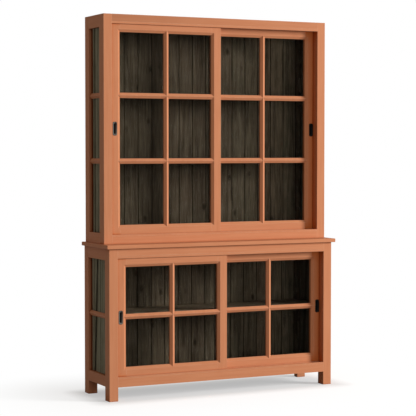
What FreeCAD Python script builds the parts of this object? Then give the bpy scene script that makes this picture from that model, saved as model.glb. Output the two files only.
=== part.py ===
"""A kitchen cabinet in two cases, with glazed sliding doors.

A low case on four square legs carries a thick plank, and a taller, shallower case
stands on that plank. Each case has two sliding doors in front and glazed sides with
dark boards close behind the glass. Ridged bars divide all the glass.

Axes: +X to the right seen from the front, +Y to the back, +Z up. The origin is on
the floor, in the middle of the whole footprint. Lengths are in millimetres.
"""
import FreeCAD, Part
import os
import re

import Sketcher
from FreeCAD import Placement, Rotation, Vector

SIZES = {
    # both cases
    "width": 1396.0,
    "depth": 364.0,
    # lower case
    "lower_post_width": 52.0,
    "leg_height": 76.0,
    "lower_bottom_rail": 56.0,
    "lower_opening": 646.0,
    "lower_top_rail": 53.0,
    "lower_side_bottom_rail": 58.0,
    "lower_side_top_rail": 64.0,
    # plank between the cases
    "plank_thickness": 21.0,
    "plank_side_overhang": 16.0,
    "plank_front_overhang": 18.0,
    "plank_round": 2.5,
    # upper case, set in from the lower one
    "upper_side_inset": 2.0,
    "upper_front_inset": 77.0,
    "upper_rear_inset": 14.0,
    "upper_post_width": 50.0,
    "upper_bottom_rail": 51.0,
    "upper_opening": 1152.0,
    "upper_top_rail": 51.0,
    "upper_side_bottom_rail": 58.0,
    "upper_side_top_rail": 68.0,
    # timbers of both cases
    "post_depth": 60.0,
    "post_arris": 1.5,
    "front_rail_thickness": 30.0,
    "side_rail_thickness": 23.0,
    "rear_rail_thickness": 13.0,
    "rear_rebate": 12.0,
    "panel_thickness": 18.0,
    # shelves and their cleats
    "shelf_rise": 10.0,
    "shelf_door_gap": 6.0,
    "shelf_gap": 0.3,
    "cleat_height": 22.0,
    "cleat_width": 25.0,
    # door tracks
    "door_recess": 9.0,
    "door_spacing": 5.0,
    "track_play": 0.5,
    "track_back": 8.0,
    "sill_groove": 8.0,
    "head_groove": 12.0,
    "head_lap": 9.0,
    "running_gap": 0.3,
    # doors
    "door_thickness": 36.0,
    "door_overlap": 41.0,
    "door_end_gap": 0.5,
    "outer_stile": 52.0,
    "meeting_stile": 56.0,
    "lower_door_top_margin": 48.5,
    "lower_door_bottom_margin": 50.0,
    "upper_door_top_margin": 44.5,
    "upper_door_bottom_margin": 52.0,
    "bottom_pane_extra": 5.0,
    # glazing
    "bevel_width": 14.0,
    "bevel_depth": 10.0,
    "lip_thickness": 4.0,
    "bar_nose": 1.0,
    "glass_thickness": 4.0,
    "glass_play": 1.5,
    "rebate_width": 8.0,
    "bar_tongue": 8.0,
    "bead_width": 7.0,
    "bead_depth": 10.0,
    "bar_bead_width": 22.0,
    "side_glass_recess": 16.0,
    "side_bar_recess": 4.0,
    "groove_play": 0.25,
    # boards
    "board_width": 85.5,
    "board_thickness": 12.0,
    "board_vee": 2.0,
    "board_tongue": 5.0,
    "board_gap": 0.3,
    # flush pulls
    "pull_width": 26.0,
    "pull_height": 76.0,
    "pull_plate": 1.0,
    "pull_corner": 9.0,
    "cup_width": 17.0,
    "cup_height": 63.0,
    "right_pull_shift": 6.0,
    "cup_depth": 10.0,
    "cup_wall": 1.5,
    "cup_gap": 0.3,
}

UPPER_ROWS = 3
LOWER_ROWS = 2
LEFT = -1
RIGHT = 1

# turns from a section drawn flat, with its length up, to a bar that lies along X or Y
ALONG_X = Rotation(Vector(0, 1, 0), 90)
ALONG_Y_FACING = {
    LEFT: Rotation(Vector(1, 1, 1), -120),
    RIGHT: Rotation(Vector(0, 1, 0), 180) * Rotation(Vector(1, 1, 1), -120),
}

doc = FreeCAD.newDocument("cabinet")
sheet = doc.addObject("Spreadsheet::Sheet", "sizes")
for row, (alias, size) in enumerate(SIZES.items(), start=1):
    sheet.set(f"A{row}", alias)
    sheet.set(f"B{row}", str(size))
    sheet.setAlias(f"B{row}", alias)
doc.recompute()

ALIAS = re.compile(r"\b(" + "|".join(SIZES) + r")\b")
nodes = []


def in_sheet(formula):
    """The formula with each size named as the sheet's."""
    return ALIAS.sub(r"sizes.\1", formula)


def value(formula):
    """What a formula in the sheet's sizes comes to."""
    return float(sheet.evalExpression(formula))


def bind(item, **formulas):
    """Bind properties of an object to formulas in the sheet's sizes."""
    for name, formula in formulas.items():
        item.setExpression(name, in_sheet(formula))


def place(item, x, y, z):
    """Bind an object's place; its turn stays."""
    for axis, formula in zip("xyz", (x, y, z)):
        item.setExpression("Placement.Base." + axis, in_sheet(formula))
    return item


def node(item, label):
    """Name a finished sub-part, which gets a file of its own."""
    item.Label = label
    nodes.append(item)
    return item


def span(side, near, far):
    """Low and high X of a stretch from near to far, measured outwards on one side."""
    if side == LEFT:
        return f"-({far})", f"-({near})"
    return near, far


def box(x, y, z):
    """A block between a low and a high formula on each axis."""
    item = doc.addObject("Part::Box", "block")
    bind(item, Length=f"({x[1]}) - ({x[0]})")
    bind(item, Width=f"({y[1]}) - ({y[0]})")
    bind(item, Height=f"({z[1]}) - ({z[0]})")
    return place(item, x[0], y[0], z[0])


def group(items):
    """Separate solids that share a node."""
    item = doc.addObject("Part::Compound", "group")
    item.Links = items
    return item


def cut(base, tool):
    item = doc.addObject("Part::Cut", "cut")
    item.Base = base
    item.Tool = tool
    return item


def fuse(items):
    item = doc.addObject("Part::MultiFuse", "fuse")
    item.Shapes = items
    item.Refine = True
    return item


def plane_sketch(body, role, name):
    """An empty sketch on one of a body's own origin planes."""
    planes = [item for item in body.Origin.OriginFeatures if item.Role == role]
    sketch = body.newObject("Sketcher::SketchObject", name)
    sketch.AttachmentSupport = [(planes[0], "")]
    sketch.MapMode = "FlatFace"
    return sketch


def dimension(sketch, kind, first, second, formula):
    """A dimension between two points of a sketch, bound to a formula."""
    number = sketch.addConstraint(Sketcher.Constraint(kind, *first, *second, value(formula)))
    sketch.setExpression(f"Constraints[{number}]", in_sheet(formula))


def extruded(name, points, height):
    """A body whose flat section has the given corners, as long as height along Z."""
    body = doc.addObject("PartDesign::Body", name)
    sketch = plane_sketch(body, "XY_Plane", name + "_section")
    corners = [Vector(value(x), value(y), 0) for x, y in points]
    ends = corners[1:] + corners[:1]
    sketch.addGeometry([Part.LineSegment(start, end) for start, end in zip(corners, ends)])
    count = len(points)
    links = [Sketcher.Constraint("Coincident", i, 2, (i + 1) % count, 1) for i in range(count)]
    sketch.addConstraint(links)
    for index, (x, y) in enumerate(points):
        dimension(sketch, "DistanceX", (-1, 1), (index, 1), x)
        dimension(sketch, "DistanceY", (-1, 1), (index, 1), y)
    pad = body.newObject("PartDesign::Pad", name + "_length")
    pad.Profile = sketch
    bind(pad, Length=height)
    return body


def block_in(body, kind, x, y, z):
    """A block that adds to a body, or is taken out of it."""
    item = body.newObject("PartDesign::" + kind, "block")
    bind(item, Length=f"({x[1]}) - ({x[0]})")
    bind(item, Width=f"({y[1]}) - ({y[0]})")
    bind(item, Height=f"({z[1]}) - ({z[0]})")
    return place(item, x[0], y[0], z[0])


def rounded(body, base, wanted, radius):
    """Round those edges of a body's feature whose box passes a test."""
    doc.recompute()
    edges = enumerate(base.Shape.Edges, start=1)
    names = [f"Edge{number}" for number, edge in edges if wanted(edge.BoundBox)]
    item = body.newObject("PartDesign::Fillet", "round")
    item.Base = (base, names)
    bind(item, Radius=radius)
    return item


class Case:
    """Where the planes of one case lie, as formulas in the sheet's sizes."""

    def __init__(self, name, half, front, rear, foot, rail_foot, rows):
        self.name = name
        self.rows = rows
        self.half = half
        self.post = f"{name}_post_width"
        self.inner = f"({self.half} - {self.post})"
        self.front = front
        self.rear = rear
        self.foot = foot
        self.base = rail_foot
        self.sill = f"({rail_foot} + {name}_bottom_rail)"
        self.head = f"({self.sill} + {name}_opening)"
        self.top = f"({self.head} + {name}_top_rail)"
        self.floor = f"({self.sill} - sill_groove)"
        self.ceiling = f"({self.head} + head_groove)"
        self.rail_back = f"({front} + front_rail_thickness)"
        self.track_back = f"({front} + {RIGHT_RECESS} + door_thickness + track_play + track_back)"
        self.board_face = f"({self.rear} - rear_rail_thickness - board_thickness)"
        self.side_board_out = f"({self.half} - side_rail_thickness)"
        self.side_board_in = f"({self.side_board_out} - board_thickness)"
        self.side_front = f"({front} + post_depth)"
        self.side_rear = f"({self.rear} - post_depth)"
        self.window_bottom = f"({rail_foot} + {name}_side_bottom_rail)"
        self.window_top = f"({self.top} - {name}_side_top_rail)"
        self.sight_bottom = f"({self.sill} + {name}_door_bottom_margin)"
        self.sight_top = f"({self.head} - {name}_door_top_margin)"

    def bar_height(self, number):
        """Height of a horizontal bar's middle. The lowest pane is a little taller."""
        equal_from = f"({self.sight_bottom} + bottom_pane_extra)"
        return divided(equal_from, self.sight_top, number, self.rows)


def divided(low, high, number, parts):
    """Middle of a bar that divides a stretch of glass into equal panes."""
    bar = "(2 * bevel_width + bar_nose)"
    return f"({low} + {number} * ({high} - {low} + {bar}) / {parts} - {bar} / 2)"


# posts and rails


def front_post(case, side, label):
    """A front post: square, with an eased outer corner. The lower ones run on as legs."""
    inward = -side
    corners = [
        (f"{inward} * post_arris", "0"),
        (f"{inward} * {case.post}", "0"),
        (f"{inward} * {case.post}", "post_depth"),
        ("0", "post_depth"),
        ("0", "post_arris"),
    ]
    body = extruded(label, corners, f"{case.top} - {case.foot}")
    return place(body, f"{side} * {case.half}", case.front, case.foot)


def rear_post(case, side, label):
    """A rear post, rebated from behind for the back boards."""
    inward = -side
    rebate = "(rear_rail_thickness + board_thickness)"
    corners = [
        (f"{inward} * post_arris", "0"),
        (f"{inward} * ({case.post} - rear_rebate)", "0"),
        (f"{inward} * ({case.post} - rear_rebate)", f"-{rebate}"),
        (f"{inward} * {case.post}", f"-{rebate}"),
        (f"{inward} * {case.post}", "-post_depth"),
        ("0", "-post_depth"),
        ("0", "-post_arris"),
    ]
    body = extruded(label, corners, f"{case.top} - {case.foot}")
    return place(body, f"{side} * {case.half}", case.rear, case.foot)


def window_groove(case, side):
    """The room that a side's panes need, cut into the posts and rails round them."""
    outer = f"{case.half} - side_glass_recess + groove_play"
    inner = f"{case.half} - side_glass_recess - glass_thickness - groove_play"
    return box(
        span(side, inner, outer),
        (f"{case.side_front} - rebate_width", f"{case.side_rear} + rebate_width"),
        (f"{case.window_bottom} - rebate_width", f"{case.window_top} + rebate_width"),
    )


def side_rail(case, side, z):
    x = span(side, case.side_board_out, case.half)
    return box(x, (case.side_front, case.side_rear), z)


def make_frame(case):
    """Posts and rails of a case, with the grooves for the side panes."""
    posts = []
    rails = []
    for side, name in ((LEFT, "left"), (RIGHT, "right")):
        groove = window_groove(case, side)
        label = f"{case.name}_front_post_{name}"
        node(cut(front_post(case, side, label + "_body"), groove), label)
        posts.append(cut(rear_post(case, side, f"{case.name}_rear_post_{name}"), groove))
        rails.append(cut(side_rail(case, side, (case.base, case.window_bottom)), groove))
        rails.append(cut(side_rail(case, side, (case.window_top, case.top)), groove))
    node(group(posts), case.name + "_rear_posts")
    node(group(rails), case.name + "_side_rails")

    between = (f"-{case.inner}", case.inner)
    front = (case.front, case.rail_back)
    node(box(between, front, (case.base, case.floor)), case.name + "_front_bottom_rail")
    node(box(between, front, (case.ceiling, case.top)), case.name + "_front_top_rail")
    wide = (f"-({case.inner} + rear_rebate)", f"{case.inner} + rear_rebate")
    rear = (f"{case.rear} - rear_rail_thickness", case.rear)
    rear_rails = [box(wide, rear, (case.base, case.sill)), box(wide, rear, (case.head, case.top))]
    node(group(rear_rails), case.name + "_rear_rails")


# boards


def board(label, width, height, joined_low, joined_high):
    """A board with eased edges, a groove along its low edge and a tongue along its high one."""
    third = "board_thickness / 3"
    low_vee = "board_vee" if joined_low else "0"
    edge = f"({width} - board_gap)" if joined_high else f"({width})"
    corners = [(low_vee, "0")]
    if joined_high:
        corners += [
            (f"{edge} - board_vee", "0"),
            (edge, "board_vee"),
            (edge, third),
            (f"{edge} + board_tongue", third),
            (f"{edge} + board_tongue", f"2 * {third}"),
            (edge, f"2 * {third}"),
            (edge, "board_thickness - board_vee"),
            (f"{edge} - board_vee", "board_thickness"),
        ]
    else:
        corners += [(edge, "0"), (edge, "board_thickness")]
    corners.append((low_vee, "board_thickness"))
    if joined_low:
        corners += [
            ("0", "board_thickness - board_vee"),
            ("0", f"2 * {third} + board_gap"),
            ("board_tongue + board_gap", f"2 * {third} + board_gap"),
            ("board_tongue + board_gap", f"{third} - board_gap"),
            ("0", f"{third} - board_gap"),
            ("0", "board_vee"),
        ]
    return extruded(label, corners, height)


def board_row(label, low, high, joint, height):
    """Upright boards from low to high, with one of their joints at a given place."""
    pitch = value("board_width")
    first = int((value(low) - value(joint)) // pitch) + 1
    last = -int((value(joint) - value(high)) // pitch + 1)
    ends = [low] + [f"({joint} + {number} * board_width)" for number in range(first, last + 1)]
    ends.append(high)
    row = []
    for number, (start, end) in enumerate(zip(ends, ends[1:])):
        width = f"({end} - {start})"
        piece = board(f"{label}_{number}", width, height, number > 0, number < len(ends) - 2)
        row.append((piece, start))
    return row


def make_boards(case):
    """The back boards, and the boards close behind each side's glass."""
    height = f"{case.top} - {case.base}"
    wide = f"({case.inner} + rear_rebate)"
    back = board_row(case.name + "_back_board", f"-{wide}", wide, "board_width / 2", height)
    for piece, start in back:
        place(piece, start, case.board_face, case.base)
    node(group([piece for piece, _ in back]), case.name + "_back_boards")

    middle = f"(({case.side_front} + {case.side_rear}) / 2)"
    both = []
    for side, name in ((LEFT, "left"), (RIGHT, "right")):
        label = f"{case.name}_{name}_board"
        face = case.side_board_in if side == RIGHT else f"-{case.side_board_out}"
        for piece, start in board_row(label, case.side_front, case.side_rear, middle, height):
            piece.Placement = Placement(Vector(), Rotation(Vector(0, 0, 1), 90))
            both.append(place(piece, f"{face} + board_thickness", start, case.base))
    node(group(both), case.name + "_side_boards")


def panel(case, y, wide_front, z):
    """A level panel that reaches the side boards, notched round the posts."""
    wide = box(
        (f"-{case.side_board_in}", case.side_board_in), (wide_front, case.side_rear), z
    )
    return fuse([wide, box((f"-{case.inner}", case.inner), y, z)])


def make_panels(case):
    """Floor, the board behind the top rail, and shelves on cleats level with the bars."""
    behind_rail = (case.rail_back, case.board_face)
    floor = (f"{case.floor} - panel_thickness", case.floor)
    node(panel(case, behind_rail, case.side_front, floor), case.name + "_floor_board")
    between = (f"-{case.inner}", case.inner)
    head = (case.ceiling, f"{case.ceiling} + panel_thickness")
    node(box(between, (case.rail_back, case.track_back), head), case.name + "_head_board")

    shelf_front = f"({case.track_back} + shelf_door_gap)"
    shelves = []
    cleats = []
    for number in range(1, case.rows):
        top = f"({case.bar_height(number)} + shelf_rise)"
        under = f"({top} - panel_thickness)"
        depth = (shelf_front, f"{case.board_face} - shelf_gap")
        shelves.append(panel(case, depth, shelf_front, (under, top)))
        for side in (LEFT, RIGHT):
            x = span(side, f"{case.side_board_in} - cleat_width", case.side_board_in)
            y = (shelf_front, case.side_rear)
            cleats.append(box(x, y, (f"{under} - cleat_height", under)))
    node(group(shelves), f"{case.name}_shelves" if len(shelves) > 1 else f"{case.name}_shelf")
    return cleats


def make_top_board(case):
    z = (f"{case.top} - panel_thickness", case.top)
    behind_rail = (case.rail_back, case.board_face)
    node(panel(case, behind_rail, case.side_front, z), case.name + "_top_board")


def make_plank(case):
    """The thick plank over the lower case, with its front and side edges rounded."""
    half = f"({case.half} + plank_side_overhang)"
    depth = "(depth + plank_front_overhang)"
    body = doc.addObject("PartDesign::Body", "plank_body")
    slab = block_in(body, "AdditiveBox", ("0", f"2 * {half}"), ("0", depth), ("0", "plank_thickness"))

    def shown(reach):
        level = reach.ZLength < reach.DiagonalLength / 2
        return level and reach.YMin < value(depth) / 2

    rounded(body, slab, shown, "plank_round")
    place(body, f"-{half}", f"{case.front} - plank_front_overhang", case.top)
    node(body, "plank_top")


def make_track_fillets(case):
    """Strips that guide the doors' bottoms and tops, in front, between and behind them."""
    near_lip = "(door_recess - track_play)"
    middle_front = "(door_recess + door_thickness + track_play)"
    middle_back = f"({RIGHT_RECESS} - track_play)"
    rear_front = f"({RIGHT_RECESS} + door_thickness + track_play)"
    strips = [("0", near_lip), (middle_front, middle_back), (rear_front, f"({rear_front} + track_back)")]
    x = (f"-{case.inner}", case.inner)
    fillets = []
    for z in ((case.floor, case.sill), (case.head, case.ceiling)):
        for near, far in strips:
            fillets.append(box(x, (f"{case.front} + {near}", f"{case.front} + {far}"), z))
    node(group(fillets), case.name + "_track_fillets")


# glazing of the sides


def ridge_section(shoulder, back):
    """Corners of a glazing bar: a narrow nose between two bevels, and a tongue behind."""
    half = "(bevel_width + bar_nose / 2)"
    return [
        (f"-{half}", "bevel_depth"),
        ("-bar_nose / 2", "0"),
        ("bar_nose / 2", "0"),
        (half, "bevel_depth"),
        (half, shoulder),
        ("bar_tongue / 2", shoulder),
        ("bar_tongue / 2", back),
        ("-bar_tongue / 2", back),
        ("-bar_tongue / 2", shoulder),
        (f"-{half}", shoulder),
    ]


def make_side_glazing(case):
    """Panes in the posts' and rails' grooves, and ridged bars between them."""
    bars = []
    panes = []
    ridge = f"({case.half} - side_bar_recess)"
    shoulder = "(side_glass_recess - side_bar_recess)"
    back = "(side_rail_thickness - side_bar_recess)"
    outer = f"{case.half} - side_glass_recess"
    levels = [f"({case.window_bottom} - rebate_width)"]
    for number in range(1, case.rows):
        middle = case.bar_height(number)
        levels += [f"({middle} - bar_tongue / 2)", f"({middle} + bar_tongue / 2)"]
    levels.append(f"({case.window_top} + rebate_width)")
    for side, name in ((LEFT, "left"), (RIGHT, "right")):
        for number in range(1, case.rows):
            label = f"{case.name}_{name}_bar_{number}"
            length = f"{case.side_rear} - {case.side_front}"
            bar = extruded(label, ridge_section(shoulder, back), length)
            bar.Placement = Placement(Vector(), ALONG_Y_FACING[side])
            bars.append(place(bar, f"{side} * {ridge}", case.side_front, case.bar_height(number)))
        for low, high in zip(levels[::2], levels[1::2]):
            x = span(side, f"{outer} - glass_thickness", outer)
            y = (
                f"{case.side_front} - rebate_width + groove_play",
                f"{case.side_rear} + rebate_width - groove_play",
            )
            panes.append(box(x, y, (f"{low} + groove_play", f"{high} - groove_play")))
    return bars, panes


# doors


def sight_tool(x, z, front):
    """What opens a door's frame: a bevelled mouth, the sight and the rebate behind it."""
    mouth = doc.addObject("Part::Wedge", "mouth")
    width = f"({x[1]} - {x[0]})"
    height = f"({z[1]} - {z[0]})"
    bind(mouth, Xmin="-bevel_width", Xmax=f"{width} + bevel_width")
    bind(mouth, Zmin="-bevel_width", Zmax=f"{height} + bevel_width")
    bind(mouth, X2min="0", X2max=width, Z2min="0", Z2max=height)
    bind(mouth, Ymin="0", Ymax="bevel_depth")
    place(mouth, x[0], front, z[0])
    seat = f"{front} + bevel_depth + lip_thickness"
    through = box(x, (f"{front} + bevel_depth", seat), z)
    rebate = box(
        (f"{x[0]} - rebate_width", f"{x[1]} + rebate_width"),
        (seat, f"{front} + door_thickness"),
        (f"{z[0]} - rebate_width", f"{z[1]} + rebate_width"),
    )
    return fuse([mouth, through, rebate])


def make_pull(label, middle, front, height):
    """A flush pull: a thin plate with a cup behind it, let into the stile."""
    body = doc.addObject("PartDesign::Body", label + "_body")
    half_width = "pull_width / 2"
    half_height = "pull_height / 2"
    cup_x = "(cup_width / 2 + cup_wall)"
    cup_z = "(cup_height / 2 + cup_wall)"
    back = "(cup_depth - pull_plate)"
    plate = block_in(
        body,
        "AdditiveBox",
        (f"-{half_width}", half_width),
        ("-pull_plate", "0"),
        (f"-{half_height}", half_height),
    )

    def through_plate(reach):
        return reach.YLength > max(reach.XLength, reach.ZLength)

    rounded(body, plate, through_plate, "pull_corner")
    cup_back = f"{back} + cup_wall"
    block_in(body, "AdditiveBox", (f"-{cup_x}", cup_x), ("0", cup_back), (f"-{cup_z}", cup_z))
    block_in(
        body,
        "SubtractiveBox",
        ("-cup_width / 2", "cup_width / 2"),
        ("-pull_plate", back),
        ("-cup_height / 2", "cup_height / 2"),
    )
    place(body, middle, front, height)
    node(body, label)


def pull_mortise(middle, front, height):
    """The hole for a pull's cup, with a little room round it."""
    half_x = "(cup_width / 2 + cup_wall + cup_gap)"
    half_z = "(cup_height / 2 + cup_wall + cup_gap)"
    return box(
        (f"{middle} - {half_x}", f"{middle} + {half_x}"),
        (front, f"{front} + cup_depth - pull_plate + cup_wall + cup_gap"),
        (f"{height} - {half_z}", f"{height} + {half_z}"),
    )


def make_door_bars(case, label, x, z, front, frame):
    """Ridged bars, coped over the frame's bevel and over each other."""
    lip = "(bevel_depth + lip_thickness)"
    seat = f"({lip} + glass_thickness)"
    section = ridge_section(lip, seat)
    low = f"({z[0]} - bevel_width)"
    high = f"({z[1]} + bevel_width)"
    middle = divided(x[0], x[1], 1, 2)
    raw = extruded(label + "_upright", section, f"{high} - {low}")
    place(raw, middle, front, low)
    upright = cut(raw, frame["rails"])
    bars = [upright]
    beside = group([upright, frame["stiles"]])
    for number in range(1, case.rows):
        start = f"({x[0]} - bevel_width)"
        length = f"{x[1]} + bevel_width - {start}"
        raw = extruded(f"{label}_level_{number}", section, length)
        raw.Placement = Placement(Vector(), ALONG_X)
        place(raw, start, front, case.bar_height(number))
        bars.append(cut(raw, beside))
    node(group(bars), label + "_glazing_bars")


def make_door_panes(case, label, x, z, front):
    """Panes against the frame's lip, and the beads and strips that hold them from behind."""
    face = f"({front} + bevel_depth + lip_thickness)"
    back = f"({face} + glass_thickness)"
    edge = "(rebate_width - glass_play)"
    tongue = "(bar_tongue / 2 + glass_play)"
    middle = divided(x[0], x[1], 1, 2)
    columns = [
        (f"{x[0]} - {edge}", f"{middle} - {tongue}"),
        (f"{middle} + {tongue}", f"{x[1]} + {edge}"),
    ]
    levels = [f"({z[0]} - {edge})"]
    for number in range(1, case.rows):
        bar = case.bar_height(number)
        levels += [f"({bar} - {tongue})", f"({bar} + {tongue})"]
    levels.append(f"({z[1]} + {edge})")
    rows = list(zip(levels[::2], levels[1::2]))
    panes = [box(column, (face, back), row) for column in columns for row in rows]
    node(group(panes), label + "_panes")

    y = (back, f"{back} + bead_depth")
    x_out = (f"({x[0]} - rebate_width)", f"({x[1]} + rebate_width)")
    z_out = (f"({z[0]} - rebate_width)", f"({z[1]} + rebate_width)")
    x_in = (f"({x_out[0]} + bead_width)", f"({x_out[1]} - bead_width)")
    z_in = (f"({z_out[0]} + bead_width)", f"({z_out[1]} - bead_width)")
    half = "bar_bead_width / 2"
    strips = [
        box((x_out[0], x_in[0]), y, z_out),
        box((x_in[1], x_out[1]), y, z_out),
        box(x_in, y, (z_out[0], z_in[0])),
        box(x_in, y, (z_in[1], z_out[1])),
        box((f"{middle} - {half}", f"{middle} + {half}"), y, z_in),
    ]
    for number in range(1, case.rows):
        bar = case.bar_height(number)
        level = (f"{bar} - {half}", f"{bar} + {half}")
        strips.append(box((x_in[0], f"{middle} - {half}"), y, level))
        strips.append(box((f"{middle} + {half}", x_in[1]), y, level))
    node(group(strips), label + "_glazing_beads")


def make_door(case, side, name, recess):
    """A glazed door, closed: its outer stile is at the post, the other one laps the next door."""
    label = f"{case.name}_{name}_door"
    front = f"({case.front} + {recess})"
    y = (front, f"{front} + door_thickness")
    z = (f"({case.floor} + running_gap)", f"({case.head} + head_lap)")
    outer_end = f"({case.inner} - door_end_gap)"
    inner_end = "(-door_overlap / 2)"
    sight = span(side, f"({inner_end} + meeting_stile)", f"({outer_end} - outer_stile)")
    sight = tuple(f"({end})" for end in sight)
    glass = (case.sight_bottom, case.sight_top)
    tool = sight_tool(sight, glass, front)
    shift = "right_pull_shift" if side == RIGHT else "0"
    pull_x = f"({side} * ({outer_end} + {shift} - (outer_stile - bevel_width) / 2))"
    pull_z = f"(({glass[0]} + {glass[1]}) / 2)"

    outer = box(span(side, f"{outer_end} - outer_stile", outer_end), y, z)
    outer = cut(cut(outer, tool), pull_mortise(pull_x, front, pull_z))
    node(outer, label + "_outer_stile")
    meeting = cut(box(span(side, inner_end, f"{inner_end} + meeting_stile"), y, z), tool)
    node(meeting, label + "_meeting_stile")
    bottom = cut(box(sight, y, (z[0], glass[0])), tool)
    top = cut(box(sight, y, (glass[1], z[1])), tool)
    rails = node(group([bottom, top]), label + "_rails")

    frame = {"rails": rails, "stiles": group([outer, meeting])}
    make_door_bars(case, label, sight, glass, front, frame)
    make_door_panes(case, label, sight, glass, front)
    make_pull(label + "_pull", pull_x, front, pull_z)


RIGHT_RECESS = "(door_recess + door_thickness + door_spacing)"
HALF_WIDTH = "(width / 2)"
REAR = "((depth + plank_front_overhang) / 2)"
FRONT = f"({REAR} - depth)"
LOWER_TOP = "(leg_height + lower_bottom_rail + lower_opening + lower_top_rail)"
UPPER_FOOT = f"({LOWER_TOP} + plank_thickness)"

lower = Case("lower", HALF_WIDTH, FRONT, REAR, "0", "leg_height", LOWER_ROWS)
upper = Case(
    "upper",
    f"({HALF_WIDTH} - upper_side_inset)",
    f"({FRONT} + upper_front_inset)",
    f"({REAR} - upper_rear_inset)",
    UPPER_FOOT,
    UPPER_FOOT,
    UPPER_ROWS,
)

side_bars = []
side_panes = []
shelf_cleats = []
for case in (lower, upper):
    make_frame(case)
    make_boards(case)
    shelf_cleats += make_panels(case)
    make_track_fillets(case)
    bars, panes = make_side_glazing(case)
    side_bars += bars
    side_panes += panes
    make_door(case, LEFT, "left", "door_recess")
    make_door(case, RIGHT, "right", RIGHT_RECESS)
make_plank(lower)
make_top_board(upper)
node(group(side_bars), "side_glazing_bars")
node(group(side_panes), "side_panes")
node(group(shelf_cleats), "shelf_cleats")

doc.recompute()

for item in doc.Objects:
    if "Invalid" in item.State or "Error" in item.State:
        raise RuntimeError(f"{item.Label} could not be made: {item.State}")
for item in nodes:
    if item.Shape.isNull() or not item.Shape.isValid():
        raise RuntimeError(f"{item.Label} has no valid shape")

os.makedirs("parts", exist_ok=True)
for item in nodes:
    item.Shape.exportStep(f"parts/{item.Label}.step")
    print(item.Label, len(item.Shape.Solids), "solids", round(item.Shape.Volume))
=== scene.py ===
"""Looks of a kitchen cabinet in two cases, with glazed sliding doors.

The frame holds every piece at its real size. This script gives them their finishes:
satin paint on softwood, black stained boards, window glass and blackened iron. It adds
the small fasteners, the studio and the camera. Lengths are in metres.
"""
import math

import bmesh
import bpy
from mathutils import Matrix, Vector


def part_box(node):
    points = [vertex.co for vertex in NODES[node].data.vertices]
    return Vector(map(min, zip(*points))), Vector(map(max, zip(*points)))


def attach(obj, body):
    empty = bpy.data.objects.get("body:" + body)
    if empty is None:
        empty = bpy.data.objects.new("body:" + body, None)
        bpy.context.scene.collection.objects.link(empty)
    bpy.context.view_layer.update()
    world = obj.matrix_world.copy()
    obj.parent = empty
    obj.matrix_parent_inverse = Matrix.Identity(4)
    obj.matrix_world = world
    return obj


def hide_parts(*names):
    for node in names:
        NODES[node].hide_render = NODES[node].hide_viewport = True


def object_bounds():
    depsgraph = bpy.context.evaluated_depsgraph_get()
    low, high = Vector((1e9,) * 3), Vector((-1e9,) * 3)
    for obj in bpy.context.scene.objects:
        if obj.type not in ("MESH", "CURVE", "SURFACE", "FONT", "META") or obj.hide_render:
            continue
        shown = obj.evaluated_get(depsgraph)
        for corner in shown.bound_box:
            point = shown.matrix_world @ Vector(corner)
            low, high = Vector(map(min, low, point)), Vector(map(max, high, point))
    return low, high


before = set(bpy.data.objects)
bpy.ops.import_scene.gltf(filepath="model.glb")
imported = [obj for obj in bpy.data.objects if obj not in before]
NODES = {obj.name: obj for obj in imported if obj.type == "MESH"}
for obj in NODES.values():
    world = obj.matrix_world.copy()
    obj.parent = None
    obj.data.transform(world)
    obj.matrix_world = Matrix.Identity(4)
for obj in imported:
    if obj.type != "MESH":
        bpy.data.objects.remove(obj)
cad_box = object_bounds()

MM = 0.001
# how far inside a face a line between two finishes is set, so that the face is surely past it
SLIVER = 1 * MM
CASES = ("lower", "upper")
DOORS = [f"{case}_{side}_door" for case in CASES for side in ("left", "right")]


# camera and studio

CAMERA_PLACE = (-3.6865, -7.4525, 1.3769)
CAMERA_YAW = 0.4575
CAMERA_PITCH = -0.0411
IMAGE_SIDE = 416
FOCAL_PIXELS = 1457.18
SENSOR = 36.0

# name, azimuth and height in degrees, distance, width, tallness, light on what faces it
LAMPS = [
    ("key", 54, 14, 14.0, 3.0, 4.5, 0.99),
    ("fill", 2, 4, 10.0, 4.5, 3.0, 0.18),
]
SKY_LIGHT = 0.225
SKY_COLOUR = (1.0, 0.93, 0.83, 1.0)
# the floor: half its side, its grey, the weaker grey that its light bounces with, its glow
# under the cabinet, kept low there as a painted shadow, and just beside it, and where it turns to
# pure white away from it
FLOOR_HALF = 3.5
FLOOR_GREY = (0.68, 0.68, 0.68, 1)
BOUNCE_GREY = (0.3, 0.3, 0.3, 1)
SHADOWED_GLOW = 0.34
NEAR_GLOW = 0.62
GLOW_REACH = 0.12
WHITE_FROM = -0.25
WHITE_AT = 0.75
WHITE = (1, 1, 1, 1)


def linear(text):
    """A colour written as sRGB hex, as linear red, green, blue and alpha."""
    parts = [int(text[i : i + 2], 16) / 255 for i in (1, 3, 5)]
    curve = [p / 12.92 if p <= 0.04045 else ((p + 0.055) / 1.055) ** 2.4 for p in parts]
    return (*curve, 1.0)


def add(tree, kind, settings=None, inputs=None):
    """A node with its settings, and its inputs linked to sockets or set to values."""
    item = tree.nodes.new(kind)
    for name, setting in (settings or {}).items():
        setattr(item, name, setting)
    for name, source in (inputs or {}).items():
        if isinstance(source, bpy.types.NodeSocket):
            tree.links.new(source, item.inputs[name])
        else:
            item.inputs[name].default_value = source
    return item


def new_material(name):
    """A new material and its tree, without nodes."""
    material = bpy.data.materials.new(name)
    material.use_nodes = True
    material.node_tree.nodes.clear()
    return material, material.node_tree


def output(tree, shader):
    """Make a shader the surface of its material."""
    add(tree, "ShaderNodeOutputMaterial", inputs={"Surface": shader})


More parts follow.
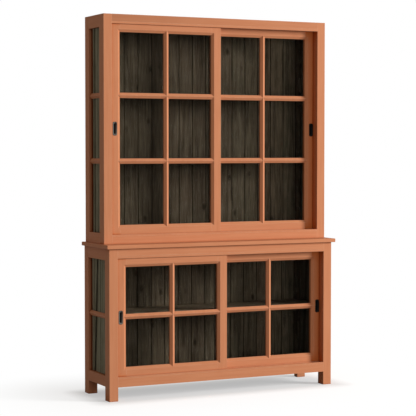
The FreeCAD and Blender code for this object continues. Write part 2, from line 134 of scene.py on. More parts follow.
def seen_directly(tree):
    """One for rays from the camera, and for those that glass or gloss sends on from there."""
    path = add(tree, "ShaderNodeLightPath")
    glossy = add(tree, "ShaderNodeMath", {"operation": "MAXIMUM"},
                 {0: path.outputs["Is Camera Ray"], 1: path.outputs["Is Glossy Ray"]})
    sent = add(tree, "ShaderNodeMath", {"operation": "MAXIMUM"},
               {0: glossy.outputs[0], 1: path.outputs["Is Transmission Ray"]})
    unscattered = add(tree, "ShaderNodeMath", {"operation": "LESS_THAN"},
                      {0: path.outputs["Diffuse Depth"], 1: 0.5})
    return add(tree, "ShaderNodeMath", {"operation": "MULTIPLY"},
               {0: sent.outputs[0], 1: unscattered.outputs[0]}).outputs[0]


def make_camera():
    """The camera that was fitted to the photograph's straight edges."""
    data = bpy.data.cameras.new("camera")
    data.sensor_width = SENSOR
    data.lens = FOCAL_PIXELS / IMAGE_SIDE * SENSOR
    camera = bpy.data.objects.new("camera", data)
    camera.location = CAMERA_PLACE
    camera.rotation_euler = (math.pi / 2 + CAMERA_PITCH, 0, -CAMERA_YAW)
    bpy.context.collection.objects.link(camera)
    bpy.context.scene.camera = camera


def make_world():
    """White where it is seen, and a low even light on everything else."""
    world = bpy.data.worlds.new("studio")
    world.use_nodes = True
    tree = world.node_tree
    tree.nodes.clear()
    white = add(tree, "ShaderNodeBackground", inputs={"Color": WHITE, "Strength": 1.0})
    dim = add(tree, "ShaderNodeBackground", inputs={"Color": SKY_COLOUR, "Strength": SKY_LIGHT})
    mix = add(tree, "ShaderNodeMixShader",
              inputs={0: seen_directly(tree), 1: dim.outputs[0], 2: white.outputs[0]})
    add(tree, "ShaderNodeOutputWorld", inputs={"Surface": mix.outputs[0]})
    bpy.context.scene.world = world


def make_lamps():
    """A tall key lamp low on the right, and a broad fill lamp nearly in front.

    Their light passes the panes as the panes' clear shadow, so it isn't sent through twice.
    """
    middle = (cad_box[0] + cad_box[1]) / 2
    for name, azimuth, height, distance, width, tall, light in LAMPS:
        data = bpy.data.lights.new(name, "AREA")
        data.shape = "RECTANGLE"
        data.size = width
        data.size_y = tall
        data.energy = light * math.pi ** 2 * distance ** 2
        lamp = bpy.data.objects.new(name, data)
        turn = math.radians(azimuth)
        lift = math.radians(height)
        level = math.cos(lift)
        towards = Vector((level * math.sin(turn), -level * math.cos(turn), math.sin(lift)))
        lamp.location = middle + towards * distance
        lamp.rotation_euler = towards.to_track_quat("Z", "Y").to_euler()
        lamp.visible_transmission = False
        bpy.context.collection.objects.link(lamp)


def make_floor():
    """A white floor, shaded near the cabinet with a painted shadow under it, which sends little
    light back up.
    """
    reach = FLOOR_HALF
    mesh = bpy.data.meshes.new("floor")
    corners = [(-reach, -reach, 0), (reach, -reach, 0), (reach, reach, 0), (-reach, reach, 0)]
    mesh.from_pydata(corners, [], [(0, 1, 2, 3)])
    floor = bpy.data.objects.new("floor", mesh)
    bpy.context.collection.objects.link(floor)
    material, tree = new_material("white paper floor")
    lit = add(tree, "ShaderNodeBsdfDiffuse", inputs={"Color": FLOOR_GREY})
    far = add(tree, "ShaderNodeEmission", inputs={"Color": WHITE, "Strength": 1.0})
    place = add(tree, "ShaderNodeTexCoord").outputs["Object"]
    parts = add(tree, "ShaderNodeSeparateXYZ", inputs={0: place})
    gaps = []
    for axis in (0, 1):
        size = add(tree, "ShaderNodeMath", {"operation": "ABSOLUTE"}, {0: parts.outputs[axis]})
        gap = add(tree, "ShaderNodeMath", {"operation": "SUBTRACT", "use_clamp": True},
                  {0: size.outputs[0], 1: cad_box[1][axis]})
        gaps.append(gap.outputs[0])
    away = add(tree, "ShaderNodeCombineXYZ", inputs={0: gaps[0], 1: gaps[1]})
    length = add(tree, "ShaderNodeVectorMath", {"operation": "LENGTH"}, {0: away.outputs[0]})
    # the glow is lowest under the cabinet: a painted shadow there
    base = add(tree, "ShaderNodeMapRange", inputs={
        "Value": length.outputs["Value"], "From Min": 0.0, "From Max": GLOW_REACH,
        "To Min": SHADOWED_GLOW, "To Max": NEAR_GLOW})
    glow = add(tree, "ShaderNodeEmission",
               inputs={"Color": WHITE, "Strength": base.outputs[0]})
    near = add(tree, "ShaderNodeAddShader", inputs={0: lit.outputs[0], 1: glow.outputs[0]})
    share = add(tree, "ShaderNodeMapRange", {"interpolation_type": "SMOOTHSTEP"}, inputs={
        "Value": length.outputs["Value"], "From Min": WHITE_FROM, "From Max": WHITE_AT})
    seen = add(tree, "ShaderNodeMixShader",
               inputs={0: share.outputs[0], 1: near.outputs[0], 2: far.outputs[0]})
    paper = add(tree, "ShaderNodeBsdfDiffuse", inputs={"Color": BOUNCE_GREY})
    mix = add(tree, "ShaderNodeMixShader",
              inputs={0: seen_directly(tree), 1: paper.outputs[0], 2: seen.outputs[0]})
    output(tree, mix.outputs[0])
    material.cycles.emission_sampling = "NONE"
    mesh.materials.append(material)


# finishes

# paint: in its thick strokes, in its thin ones, and paler at its corners, partly worn and partly a
# painted highlight
PAINT_DEEP = "#CA825C"
PAINT_FULL = "#D38D66"
PAINT_WORN_AND_HIGHLIT = "#DBA88A"
FINE_STROKE = 3 * MM
BROAD_STROKE = 14 * MM
PAINT_PATCH = 120 * MM
# how wide a corner the paler edge takes, how open a corner has to be, and the patches it comes in
EDGE_PALING_RADIUS = 2.2 * MM
EDGE_PALING_REACH = 6 * MM
EDGE_PALING_PATCH = 30 * MM
# stain colours: two boards' tones, where it has faded, and the dark of the grain and knots
STAIN_INSIDE = ("#584B40", "#4F4A3F", "#5E5449", "#2B241E")
# the side boards' stain, painted pale: painted light on the side in shade
SIDE_STAIN_PAINTED_PALE = ("#B0A898", "#A6A494", "#B6B0A0", "#7E7868")
FINE_GRAIN = 5 * MM
BROAD_GRAIN = 22 * MM
FADED_PATCH = 70 * MM
KNOT_DISTANCE = 95 * MM
BOARD_WIDTH = 85.5 * MM
# how a tone changes along X: from, to, and its strength at both. The back boards are painted a
# little darker on the left and lighter towards the right: painted light where the right side
# shades them.
BACK_PAINTED_LIGHT = {"upper": (0.2, 0.55, 0.84, 1.85), "lower": (0.1, 0.6, 0.96, 1.55)}
# the front top rail is painted darker towards the left
TOP_RAIL_DARKER_LEFT = (-0.75, 0.3, 0.8, 0.95)
# the lower shelf is painted lighter all over: painted light, as on a top lit from above
SHELF_PAINTED_LIGHT = (-1, 1, 1.6, 1.6)
JOINT_BLACK = "#0C0907"
JOINT_SHADE = 3.6 * MM
# the side boards are painted pale, a painted light, up to one X and dark beyond the next
SIDE_PAINTED_LIGHT = (-0.671, -0.669, 1.0, 0.2)
# a dark streak down the side boards: its Y at the floor, how far it leans back with height,
# half its width where it is darkest and where it ends
SIDE_STREAKS = {
    "lower": (0.0975, -0.0657, 7 * MM, 20 * MM),
    "upper": (0.088, 0, 1 * MM, 12 * MM),
}
STREAK_DARK = "#2C261C"
GLASS_TINT = linear("#F6F6F0")
FRONT_GLASS_INDEX = 1.05
SIDE_GLASS_INDEX = 1.0
# iron: its black, its grey where worn and where a painted highlight lies, and its patches' size
IRON_BLACK = "#070606"
IRON_WORN_AND_HIGHLIT = "#84827A"
IRON_PATCH = 4 * MM
# painted shade: tints that darken what stands close to other surfaces, in corners and in the
# doors' recesses, and from how far these count
CORNER_SHADE = linear("#C9A48C")
CORNER_SHADE_REACH = 14 * MM
RECESS_SHADE = linear("#F3CB95")
RECESS_SHADE_REACH = 80 * MM
# paint this far behind the front posts' faces lies in the doors' recess, where it gets a warm
# painted shade
RECESS_DEPTH = 4 * MM
# the corners of wood are eased this much, and its sheen is faint
EASED_RADIUS = 1.5 * MM
SHEEN_LEVEL = 0.035
# how high the surfaces' relief stands
PAINT_RELIEF = 0.12 * MM
STAIN_RELIEF = 0.5 * MM
MIXED_RELIEF = 0.2 * MM
IRON_RELIEF = 0.1 * MM
# noise stretched along a piece, for strokes and grain
ALONG = {"x": (0.05, 1, 1), "y": (1, 0.05, 1), "z": (1, 1, 0.05)}


def grain_at(tree, along, width, detail):
    """Fine streaks along one axis, each about as wide as given."""
    place = add(tree, "ShaderNodeTexCoord").outputs["Object"]
    stretched = add(tree, "ShaderNodeMapping", inputs={"Vector": place, "Scale": ALONG[along]})
    streaks = add(tree, "ShaderNodeTexNoise", inputs={
        "Vector": stretched.outputs[0], "Scale": 1 / width, "Detail": detail,
        "Roughness": 0.6})
    return streaks.outputs[0]


def mottle(tree, size):
    """Soft patches of about the given size."""
    place = add(tree, "ShaderNodeTexCoord").outputs["Object"]
    return add(tree, "ShaderNodeTexNoise", inputs={
        "Vector": place, "Scale": 1 / size, "Detail": 2.0}).outputs[0]


def mixed_colour(tree, share, first, second):
    """A blend of two colours, each a hex text or a socket."""
    ends = [linear(c) if isinstance(c, str) else c for c in (first, second)]
    return add(tree, "ShaderNodeMix", {"data_type": "RGBA"},
               {0: share, 6: ends[0], 7: ends[1]}).outputs[2]


def mixed_number(tree, share, first, second):
    """A blend of two numbers, each a value or a socket."""
    return add(tree, "ShaderNodeMix", inputs={0: share, 2: first, 3: second}).outputs[0]


def spread(tree, source, low, high):
    """A source's low to high range opened out to nought to one."""
    return add(tree, "ShaderNodeMapRange", inputs={
        "Value": source, "From Min": low, "From Max": high}).outputs[0]


def toned(tree, colour, tone):
    """A colour made darker or paler from one X to another: from, to, and both strengths."""
    start, end, first, last = tone
    place = add(tree, "ShaderNodeTexCoord").outputs["Object"]
    across = add(tree, "ShaderNodeSeparateXYZ", inputs={0: place}).outputs[0]
    strength = add(tree, "ShaderNodeMapRange", {"interpolation_type": "SMOOTHSTEP"}, {
        "Value": across, "From Min": start, "From Max": end, "To Min": first, "To Max": last})
    return add(tree, "ShaderNodeVectorMath", {"operation": "SCALE"},
               {"Vector": colour, "Scale": strength.outputs[0]}).outputs[0]


def worn_and_highlit_edges(tree, colour):
    """Paint paler along its outer corners, partly worn thin there and partly a painted highlight
    on the edges.
    """
    eased = add(tree, "ShaderNodeBevel", {"samples": 4}, {"Radius": EDGE_PALING_RADIUS})
    facing = add(tree, "ShaderNodeNewGeometry").outputs["Normal"]
    match = add(tree, "ShaderNodeVectorMath", {"operation": "DOT_PRODUCT"},
                {0: eased.outputs[0], 1: facing}).outputs["Value"]
    edge = spread(tree, match, 0.995, 0.94)
    around = add(tree, "ShaderNodeAmbientOcclusion", {"samples": 4}, {"Distance": EDGE_PALING_REACH})
    outer = spread(tree, around.outputs["AO"], 0.8, 0.95)
    patchy = spread(tree, mottle(tree, EDGE_PALING_PATCH), 0.2, 0.6)
    bare = add(tree, "ShaderNodeMath", {"operation": "MULTIPLY"}, {0: edge, 1: outer}).outputs[0]
    share = add(tree, "ShaderNodeMath", {"operation": "MULTIPLY"}, {0: bare, 1: patchy})
    return mixed_colour(tree, share.outputs[0], colour, PAINT_WORN_AND_HIGHLIT)


def paint_layers(tree, along, tone=None):
    """Satin paint brushed along softwood: faint strokes, with the grain just raised."""
    streaks = grain_at(tree, along, FINE_STROKE, 4.0)
    strokes = grain_at(tree, along, BROAD_STROKE, 2.0)
    patches = mottle(tree, PAINT_PATCH)
    depth = mixed_number(tree, 0.4, spread(tree, streaks, 0.3, 0.7),
                         spread(tree, patches, 0.35, 0.65))
    depth = mixed_number(tree, 0.5, depth, spread(tree, strokes, 0.36, 0.62))
    colour = mixed_colour(tree, depth, PAINT_DEEP, PAINT_FULL)
    if tone:
        colour = toned(tree, colour, tone)
    colour = worn_and_highlit_edges(tree, colour)
    rough = mixed_number(tree, streaks, 0.46, 0.58)
    return colour, rough, streaks


def stain_layers(tree, along, axis, joint, stain=STAIN_INSIDE, tone=None):
    """Rough sawn softwood, stained nearly black, which shows its open grain and knots.

    Boards side by side each have their own tone, and a dark line at each joint. Their
    joints cross the given axis at the given place and every board's width from it.
    """
    place = add(tree, "ShaderNodeTexCoord").outputs["Object"]
    parts = add(tree, "ShaderNodeSeparateXYZ", inputs={0: place})
    across = parts.outputs["XYZ".index(axis.upper())]
    count = add(tree, "ShaderNodeMath", {"operation": "MULTIPLY_ADD"},
                {0: across, 1: 1 / BOARD_WIDTH, 2: -joint / BOARD_WIDTH})
    number = add(tree, "ShaderNodeMath", {"operation": "FLOOR"}, {0: count.outputs[0]})
    chance = add(tree, "ShaderNodeTexWhiteNoise", {"noise_dimensions": "1D"},
                 {"W": number.outputs[0]})
    shifted = add(tree, "ShaderNodeVectorMath", {"operation": "MULTIPLY_ADD"},
                  {0: chance.outputs["Color"], 1: (3, 3, 3), 2: place})
    fibre = add(tree, "ShaderNodeMapping",
                inputs={"Vector": shifted.outputs[0], "Scale": ALONG[along]})
    fine = add(tree, "ShaderNodeTexNoise", inputs={
        "Vector": fibre.outputs[0], "Scale": 1 / FINE_GRAIN, "Detail": 3.0,
        "Roughness": 0.65}).outputs[0]
    broad = add(tree, "ShaderNodeTexNoise", inputs={
        "Vector": fibre.outputs[0], "Scale": 1 / BROAD_GRAIN, "Detail": 3.0,
        "Distortion": 0.6}).outputs[0]
    cloud = add(tree, "ShaderNodeTexNoise", inputs={
        "Vector": shifted.outputs[0], "Scale": 1 / FADED_PATCH, "Detail": 2.0}).outputs[0]
    stretch = [0.55 if letter == along else 1 for letter in "xyz"]
    knot_place = add(tree, "ShaderNodeMapping",
                     inputs={"Vector": shifted.outputs[0], "Scale": stretch})
    knots = add(tree, "ShaderNodeTexVoronoi", {"voronoi_dimensions": "3D"},
                {"Vector": knot_place.outputs[0], "Scale": 1 / KNOT_DISTANCE})
    knot = spread(tree, knots.outputs["Distance"], 0.16, 0.06)
    brown, grey, pale, dark = stain
    base = mixed_colour(tree, chance.outputs[0], brown, grey)
    faded = mixed_colour(tree, spread(tree, cloud, 0.35, 0.65), base, pale)
    streaks = mixed_number(tree, 0.5, spread(tree, fine, 0.36, 0.62),
                           spread(tree, broad, 0.35, 0.6))
    colour = mixed_colour(tree, streaks, dark, faded)
    colour = mixed_colour(tree, knot, colour, dark)
    if tone:
        colour = toned(tree, colour, tone)
    if along != axis:
        part = add(tree, "ShaderNodeMath", {"operation": "FRACT"}, {0: count.outputs[0]})
        off = add(tree, "ShaderNodeMath", {"operation": "SUBTRACT"}, {0: part.outputs[0], 1: 0.5})
        size = add(tree, "ShaderNodeMath", {"operation": "ABSOLUTE"}, {0: off.outputs[0]})
        line = spread(tree, size.outputs[0], 0.5 - JOINT_SHADE / BOARD_WIDTH, 0.492)
        colour = mixed_colour(tree, line, colour, JOINT_BLACK)
    rough = mixed_number(tree, fine, 0.62, 0.78)
    return colour, rough, fine


def shaded(tree, colour, reach, open_from, open_at, tint, strength=1.0):
    """A colour multiplied by a tint where other surfaces stand close around it: painted shade."""
    around = add(tree, "ShaderNodeAmbientOcclusion", {"samples": 8}, {"Distance": reach})
    openness = spread(tree, around.outputs["AO"], open_from, open_at)
    tinted = add(tree, "ShaderNodeMix", {"data_type": "RGBA", "blend_type": "MULTIPLY"},
                 {0: strength, 6: colour, 7: tint}).outputs[2]
    return mixed_colour(tree, openness, tinted, colour)


def solid_finish(tree, layers, relief, recess_shade_behind=None, corner_shaded=True):
    """A surface from its colour, roughness and relief, with eased corners and painted shade in its
    corners.

    Paint in a recess behind the given Y gets a warm painted shade there, as of light bounced off
    the paint around it.
    """
    colour, rough, height = layers
    # painted shade in corners and creases, where other surfaces stand close
    if corner_shaded:
        colour = shaded(tree, colour, CORNER_SHADE_REACH, 0.25, 0.8, CORNER_SHADE)
    # warm painted shade in the doors' recess
    if recess_shade_behind is not None:
        behind = beyond(tree, "Y", recess_shade_behind)
        colour = shaded(tree, colour, RECESS_SHADE_REACH, 0.5, 0.93, RECESS_SHADE, behind)
    eased = add(tree, "ShaderNodeBevel", {"samples": 4}, {"Radius": EASED_RADIUS})
    bump = add(tree, "ShaderNodeBump", inputs={
        "Strength": 0.5, "Distance": relief, "Height": height, "Normal": eased.outputs[0]})
    shader = add(tree, "ShaderNodeBsdfPrincipled", inputs={
        "Base Color": colour, "Roughness": rough, "Specular IOR Level": SHEEN_LEVEL,
        "Normal": bump.outputs[0]})
    output(tree, shader.outputs[0])


def beyond(tree, axis, limit, spread_both=False):
    """One where a place's X, Y or Z, or its size both ways, is over a limit."""
    place = add(tree, "ShaderNodeTexCoord").outputs["Object"]
    here = add(tree, "ShaderNodeSeparateXYZ", inputs={0: place}).outputs["XYZ".index(axis)]
    if spread_both:
        here = add(tree, "ShaderNodeMath", {"operation": "ABSOLUTE"}, {0: here}).outputs[0]
    return add(tree, "ShaderNodeMath", {"operation": "GREATER_THAN"},
               {0: here, 1: limit}).outputs[0]


def painted(name, along, recess_shade_behind=None, tone=None):
    """Satin paint with strokes along the piece, half matt with a faint sheen."""
    material, tree = new_material(name)
    solid_finish(tree, paint_layers(tree, along, tone), PAINT_RELIEF, recess_shade_behind)
    return material


def stained(name, along, axis, joint, tone=None):
    """Black stain that leaves the sawn wood matt, with its grain open and each board its own."""
    material, tree = new_material(name)
    solid_finish(tree, stain_layers(tree, along, axis, joint, tone=tone), STAIN_RELIEF)
    return material


def pale_side_boards(name, joint, streak):
    """The same boards close behind the side windows, painted pale grey on the left as painted
    light.

    A dark line runs nearly upright down them.
    """
    material, tree = new_material(name)
    colour, rough, height = stain_layers(tree, "z", "y", joint, SIDE_STAIN_PAINTED_PALE, SIDE_PAINTED_LIGHT)
    foot, lean, dark, end = streak
    place = add(tree, "ShaderNodeTexCoord").outputs["Object"]
    parts = add(tree, "ShaderNodeSeparateXYZ", inputs={0: place}).outputs
    line = add(tree, "ShaderNodeMath", {"operation": "MULTIPLY_ADD"},
               {0: parts["Z"], 1: lean, 2: foot})
    off = add(tree, "ShaderNodeMath", {"operation": "SUBTRACT"},
              {0: parts["Y"], 1: line.outputs[0]})
    size = add(tree, "ShaderNodeMath", {"operation": "ABSOLUTE"}, {0: off.outputs[0]})
    colour = mixed_colour(tree, spread(tree, size.outputs[0], end, dark), colour, STREAK_DARK)
    solid_finish(tree, (colour, rough, height), STAIN_RELIEF, corner_shaded=False)
    return material


def half_painted(name, along, axis, limit, painted_beyond, spread_both=False, heights=None):
    """Paint on one side of a line across a piece, and the black stain on the other.

    A post is painted all round below the first of the given heights and above the second.
    """
    material, tree = new_material(name)
    share = beyond(tree, axis, limit, spread_both)
    if heights is not None:
        raised = beyond(tree, "Z", heights[0])
        below = add(tree, "ShaderNodeMath", {"operation": "SUBTRACT"}, {0: 1.0, 1: raised})
        for end in (below.outputs[0], beyond(tree, "Z", heights[1])):
            share = add(tree, "ShaderNodeMath", {"operation": "MAXIMUM"},
                        {0: share, 1: end}).outputs[0]
    paint = paint_layers(tree, along)
    stain = stain_layers(tree, along, along, 0.0)
    first, second = (stain, paint) if painted_beyond else (paint, stain)
    colour = mixed_colour(tree, share, first[0], second[0])
    rough = mixed_number(tree, share, first[1], second[1])
    height = mixed_number(tree, share, first[2], second[2])
    solid_finish(tree, (colour, rough, height), MIXED_RELIEF)
    return material


def window_glass(name, index):
    """Clear window glass, smooth and faintly warm, which hardly mirrors.

    Its index of refraction is lower than real glass has, as the photograph asks for.
    """
    material, tree = new_material(name)
    glass = add(tree, "ShaderNodeBsdfPrincipled", inputs={
        "Base Color": GLASS_TINT, "Roughness": 0.0, "IOR": index,
        "Transmission Weight": 1.0})
    clear = add(tree, "ShaderNodeBsdfTransparent", inputs={"Color": GLASS_TINT})
    path = add(tree, "ShaderNodeLightPath")
    mix = add(tree, "ShaderNodeMixShader", inputs={
        0: path.outputs["Is Shadow Ray"], 1: glass.outputs[0], 2: clear.outputs[0]})
    output(tree, mix.outputs[0])
    return material


def blackened_iron():
    """Pressed iron, blackened and waxed: dark, half matt, and grey where hands wear it, which on
    the pulls is also a painted highlight.
    """
    material, tree = new_material("blackened iron, waxed")
    patches = mottle(tree, IRON_PATCH)
    # the pulls' grey: partly wear, partly a painted highlight
    worn = add(tree, "ShaderNodeAttribute", {"attribute_name": "wear_and_highlight"}).outputs["Fac"]
    some = spread(tree, patches, 0.1, 0.6)
    wear_and_highlight = add(tree, "ShaderNodeMath", {"operation": "MULTIPLY"}, {0: worn, 1: some}).outputs[0]
    colour = mixed_colour(tree, wear_and_highlight, IRON_BLACK, IRON_WORN_AND_HIGHLIT)
    rough = mixed_number(tree, patches, 0.4, 0.6)
    solid_finish(tree, (colour, rough, patches), IRON_RELIEF)
    return material


def box_of(name):
    """A node's lowest and highest corners."""
    low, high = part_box(name)
    return Vector(low), Vector(high)


def give(name, material):
    """Put a material in all of a node's slots."""
    for place in NODES[name].material_slots:
        place.material = material


def case_finishes(case):
    """The finishes of one case's boards, and of its pieces that are only painted in part."""
    boards = box_of(case + "_side_boards")
    middle = (boards[0].y + boards[1].y) / 2
    inner = boards[1].x - SLIVER
    track_back = box_of(case + "_track_fillets")[1].y
    heights = (box_of(case + "_floor_board")[0].z, box_of(case + "_rear_posts")[1].z - SLIVER)
    end = box_of(case + "_right_door_meeting_stile")[0].x + SLIVER
    return {
        case + "_floor_board": half_painted(
            case + " floor, painted in the tracks", "x", "Y", track_back, False),
        case + "_rear_posts": half_painted(
            case + " rear posts, stained inside", "z", "X", inner, True, True, heights),
        # the side boards are painted pale on the left: painted light
        case + "_side_boards": pale_side_boards(
            f"black stained boards, {case} sides", middle, SIDE_STREAKS[case]),
        case + "_back_boards": stained(
            f"black stained boards, {case} back", "z", "x", BOARD_WIDTH / 2, BACK_PAINTED_LIGHT[case]),
        # painted shade: the right doors' meeting stiles are stained black on their left end, where
        # the front door shades them
        case + "_right_door_meeting_stile": half_painted(
            f"{case} right meeting stile, dark edge", "z", "X", end, True),
    }


def dress(iron):
    """Give every piece of the frame its finish."""
    level = painted("satin paint, brushed level", "x")
    deep = painted("satin paint, brushed front to back", "y")
    shelf = stained("black stained planks", "x", "x", 0.0)
    # a lighter copy of the shelves' stain: painted light on the lower shelf
    lit_low_shelf = stained("black stained plank, painted lighter", "x", "x", 0.0, SHELF_PAINTED_LIGHT)
    glass = window_glass("window glass", FRONT_GLASS_INDEX)
    side_glass = window_glass("window glass, dull", SIDE_GLASS_INDEX)
    finishes = case_finishes("lower") | case_finishes("upper")
    top = box_of("upper_top_board")[1].z - SLIVER
    finishes["upper_top_board"] = half_painted("top board, painted above", "x", "Z", top, True)
    fronts = {case: box_of(case + "_front_post_left")[0].y + RECESS_DEPTH for case in CASES}
    # the front top rail gets the warm painted shade of the doors' recess, and is darker to the
    # left
    finishes["upper_front_top_rail"] = painted(
        "satin paint, brushed level, a deeper coat", "x", fronts["upper"], TOP_RAIL_DARKER_LEFT)
    upright = painted("satin paint, brushed upright", "z")
    # posts and outer stiles get a warm painted shade in the doors' recess
    recess_shaded = {c: painted(f"satin paint, {c} case, brushed upright", "z", fronts[c]) for c in CASES}
    endings = [
        ("_pull", iron), ("side_panes", side_glass), ("panes", glass), ("shelves", shelf),
        ("lower_shelf", lit_low_shelf), ("cleats", shelf), ("side_rails", deep),
        ("side_glazing_bars", deep), ("meeting_stile", upright), ("glazing_bars", upright),
        ("glazing_beads", upright), ("", level),
    ]
    for name in NODES:
        if name in finishes:
            give(name, finishes[name])
        elif name.endswith(("_post_left", "_post_right", "outer_stile")):
            give(name, recess_shaded[name.split("_")[0]])
        else:
            give(name, next(finish for ending, finish in endings if name.endswith(ending)))


# pulls and fasteners

# a pull's rings, from the middle of its dish over its lip and plate to the back of the dish:
# half its width, how far its end is from the plate's, corner radius, depth into the door and
# how grey it is, for wear and a painted highlight, in millimetres and from nought to one
DISH_RINGS = [
    (0.8, 14.2, 0.8, 6.6, 0.0), (2.6, 12.4, 2.6, 6.4, 0.0), (4.6, 10.4, 4.6, 5.6, 0.2),
    (6.4, 8.6, 6.4, 4.2, 0.6), (7.9, 7.1, 7.9, 2.2, 1.0), (9.2, 5.8, 9.2, 0.2, 1.0),
    (9.9, 5.1, 9.9, -0.6, 1.0), (10.6, 4.4, 10.6, -1.0, 1.0),
]
PLATE_RINGS = [
    (10.9, 3.9, 10.4, -0.95, 0.9), (12.1, 1.1, 8.4, -0.95, 0.8), (12.7, 0.3, 8.8, -0.75, 0.8),
    (13.0, 0.0, 9.0, 0.0, 0.3),
]
SHELL_RINGS = [
    (10.1, 5.0, 10.1, 0.0, 0.0), (10.0, 5.1, 10.0, 1.4, 0.0), (8.9, 6.2, 8.9, 4.4, 0.0),
    (6.4, 8.7, 6.4, 6.6, 0.0), (3.2, 11.9, 3.2, 7.8, 0.0), (0.8, 14.2, 0.8, 8.1, 0.0),
]
CORNER_STEPS = 7
# how far the plain pull stands before its door's face, and how far the pressed one does
PULL_PROUD = 1 * MM
PLATE_FRONT = 0.96 * MM
# how grey a pull is, for wear and a painted highlight, on the left doors and on the right ones,
# and where no finger reaches
PULL_WEAR_AND_HIGHLIGHT = {"left": 1.0, "right": 0.1}
UNTOUCHED_SHARE = 0.35
PIN_INSET = 2.4 * MM
PIN_BEFORE = 0.95 * MM
PIN_SIZE = (3.2 * MM, 1.2 * MM)
# the nails: from a board's middle, from the boards' ends, and the least from their sides
NAIL_APART = 22 * MM
NAIL_INSET = 18 * MM
NAIL_MARGIN = 8 * MM
NAIL_SIZE = (5 * MM, 2 * MM)


def ring(half_width, half_height, radius):
    """Points round an upright rectangle with round corners."""
    points = []
    for corner in range(4):
        across = 1 if corner in (0, 3) else -1
        up = 1 if corner < 2 else -1
        for step in range(CORNER_STEPS):
            turn = math.radians(90 * (corner + step / (CORNER_STEPS - 1)))
            x = across * (half_width - radius) + radius * math.cos(turn)
            z = up * (half_height - radius) + radius * math.sin(turn)
            points.append((x, z))
    return points


def pull_plate(name, middle, face, tall, wear):
    """A pull pressed from one sheet: a flat plate with a long dish in it.

    Fingers rub it grey on the left and at its lower end, and the grey on the left is also a
    painted highlight.
    """
    rings = DISH_RINGS + PLATE_RINGS + SHELL_RINGS
    count = 4 * CORNER_STEPS
    points = []
    pale_shares = []
    for half_width, inset, radius, depth, rub in rings:
        for x, z in ring(half_width, tall / (2 * MM) - inset, radius):
            points.append((middle.x + x * MM, face + depth * MM, middle.z + z * MM))
            # worn on the left and at the lower end; the left also gets a painted highlight
            reached = x < 1 or z * MM < -0.3 * tall
            pale_shares.append(rub * wear * (1.0 if reached else UNTOUCHED_SHARE))
    faces = [tuple(reversed(range(count)))]
    for row in range(len(rings) - 1):
        for step in range(count):
            here = row * count + step
            beside = row * count + (step + 1) % count
            faces.append((here, beside, beside + count, here + count))
    last = (len(rings) - 1) * count
    faces.append(tuple(range(last, last + count)))
    mesh = bpy.data.meshes.new(name)
    mesh.from_pydata(points, [], faces)
    wear_and_highlight = mesh.attributes.new("wear_and_highlight", "FLOAT", "POINT")
    wear_and_highlight.data.foreach_set("value", pale_shares)
    shape = bmesh.new()
    shape.from_mesh(mesh)
    bmesh.ops.remove_doubles(shape, verts=shape.verts, dist=1e-6)
    bmesh.ops.recalc_face_normals(shape, faces=shape.faces)
    front = face - PLATE_FRONT
    for side in shape.faces:
        level = all(abs(corner.co.y - front) < 0.1 * MM for corner in side.verts)
        side.smooth = not level
    shape.to_mesh(mesh)
    shape.free()
    piece = bpy.data.objects.new(name, mesh)
    bpy.context.collection.objects.link(piece)
    return piece


def stud_tree():
    """Geometry nodes that set one low round head on every point of a mesh.

    A head's width, height and the way it faces are inputs, and so is its material.
    """
    tree = bpy.data.node_groups.new("round heads", "GeometryNodeTree")
    face = tree.interface
    face.new_socket("Geometry", in_out="INPUT", socket_type="NodeSocketGeometry")
    face.new_socket("Head Width", in_out="INPUT", socket_type="NodeSocketFloat")
    face.new_socket("Head Height", in_out="INPUT", socket_type="NodeSocketFloat")
    face.new_socket("Facing", in_out="INPUT", socket_type="NodeSocketRotation")
    face.new_socket("Material", in_out="INPUT", socket_type="NodeSocketMaterial")
    face.new_socket("Geometry", in_out="OUTPUT", socket_type="NodeSocketGeometry")
    given = add(tree, "NodeGroupInput").outputs
    ball = add(tree, "GeometryNodeMeshUVSphere",
               inputs={"Segments": 10, "Rings": 6, "Radius": 0.5})
    size = add(tree, "ShaderNodeCombineXYZ", inputs={
        0: given["Head Width"], 1: given["Head Width"], 2: given["Head Height"]})
    head = add(tree, "GeometryNodeTransform",
               inputs={"Geometry": ball.outputs["Mesh"], "Scale": size.outputs[0]})
    smooth = add(tree, "GeometryNodeSetShadeSmooth", inputs={"Geometry": head.outputs[0]})
    spots = add(tree, "GeometryNodeMeshToPoints", inputs={"Mesh": given["Geometry"]})
    heads = add(tree, "GeometryNodeInstanceOnPoints", inputs={
        "Points": spots.outputs[0], "Instance": smooth.outputs[0], "Rotation": given["Facing"]})
    real = add(tree, "GeometryNodeRealizeInstances", inputs={"Geometry": heads.outputs[0]})
    finish = add(tree, "GeometryNodeSetMaterial",
                 inputs={"Geometry": real.outputs[0], "Material": given["Material"]})
    add(tree, "NodeGroupOutput", inputs={"Geometry": finish.outputs[0]})
    return tree


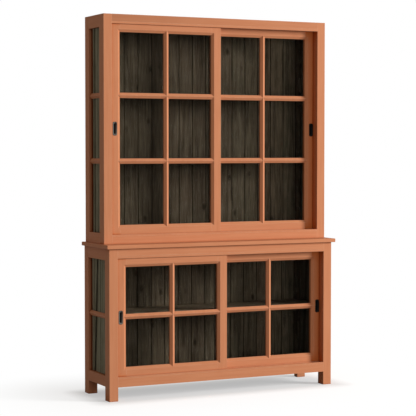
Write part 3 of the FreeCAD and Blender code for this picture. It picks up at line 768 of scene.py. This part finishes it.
def studs(name, tree, places, size, material):
    """One mesh of round heads at the given places, facing front or back.

    Their size is a width and a height.
    """
    seeds = bpy.data.meshes.new(name + "_seeds")
    seeds.from_pydata([tuple(place) for place in places], [], [])
    holder = bpy.data.objects.new(name + "_seeds", seeds)
    bpy.context.collection.objects.link(holder)
    modifier = holder.modifiers.new("heads", "NODES")
    modifier.node_group = tree
    settings = {"Head Width": size[0], "Head Height": size[1],
                "Facing": (math.pi / 2, 0, 0), "Material": material}
    for item in tree.interface.items_tree:
        if item.in_out == "INPUT" and item.name in settings:
            modifier[item.identifier] = settings[item.name]
    shown = holder.evaluated_get(bpy.context.evaluated_depsgraph_get())
    mesh = bpy.data.meshes.new_from_object(shown)
    mesh.name = name
    holder.modifiers.clear()
    bpy.data.objects.remove(holder)
    piece = bpy.data.objects.new(name, mesh)
    bpy.context.collection.objects.link(piece)
    return piece


def make_pulls(iron, tree):
    """A dished plate and its two pins on each door, at the place of the plain pull."""
    for door in DOORS:
        low, high = box_of(door + "_pull")
        middle = (low + high) / 2
        face = low.y + PULL_PROUD
        wear = PULL_WEAR_AND_HIGHLIGHT["left" if "left" in door else "right"]
        plate = pull_plate(door + "_dished_pull", middle, face, high.z - low.z, wear)
        plate.data.materials.append(iron)
        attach(plate, door)
        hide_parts(door + "_pull")
        ends = (low.z + PIN_INSET, high.z - PIN_INSET)
        places = [(middle.x, face - PIN_BEFORE, end) for end in ends]
        pins = studs(door + "_pull_pins", tree, places, PIN_SIZE, iron)
        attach(pins, door)


def make_nails(iron, tree):
    """Rows of nails through the back boards of each case into its rails and shelves."""
    for case in CASES:
        low, high = box_of(case + "_back_boards")
        levels = [low.z + NAIL_INSET, high.z - NAIL_INSET]
        if case == "lower":
            shelf = box_of("lower_shelf")
            levels.append((shelf[0].z + shelf[1].z) / 2)
        places = []
        count = round((high.x - low.x) / BOARD_WIDTH)
        for number in range(-count, count + 1):
            across = (number + 0.5) * BOARD_WIDTH
            for off in (-NAIL_APART, NAIL_APART):
                x = across + off + BOARD_WIDTH / 2
                if low.x + NAIL_MARGIN < x < high.x - NAIL_MARGIN:
                    places += [(x, high.y, level) for level in levels]
        nails = studs(case + "_back_nails", tree, places, NAIL_SIZE, iron)
        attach(nails, "cabinet")


make_camera()
make_world()
make_lamps()
make_floor()
iron = blackened_iron()
dress(iron)
heads = stud_tree()
make_pulls(iron, heads)
make_nails(iron, heads)

bpy.context.scene.view_settings.view_transform = "Standard"
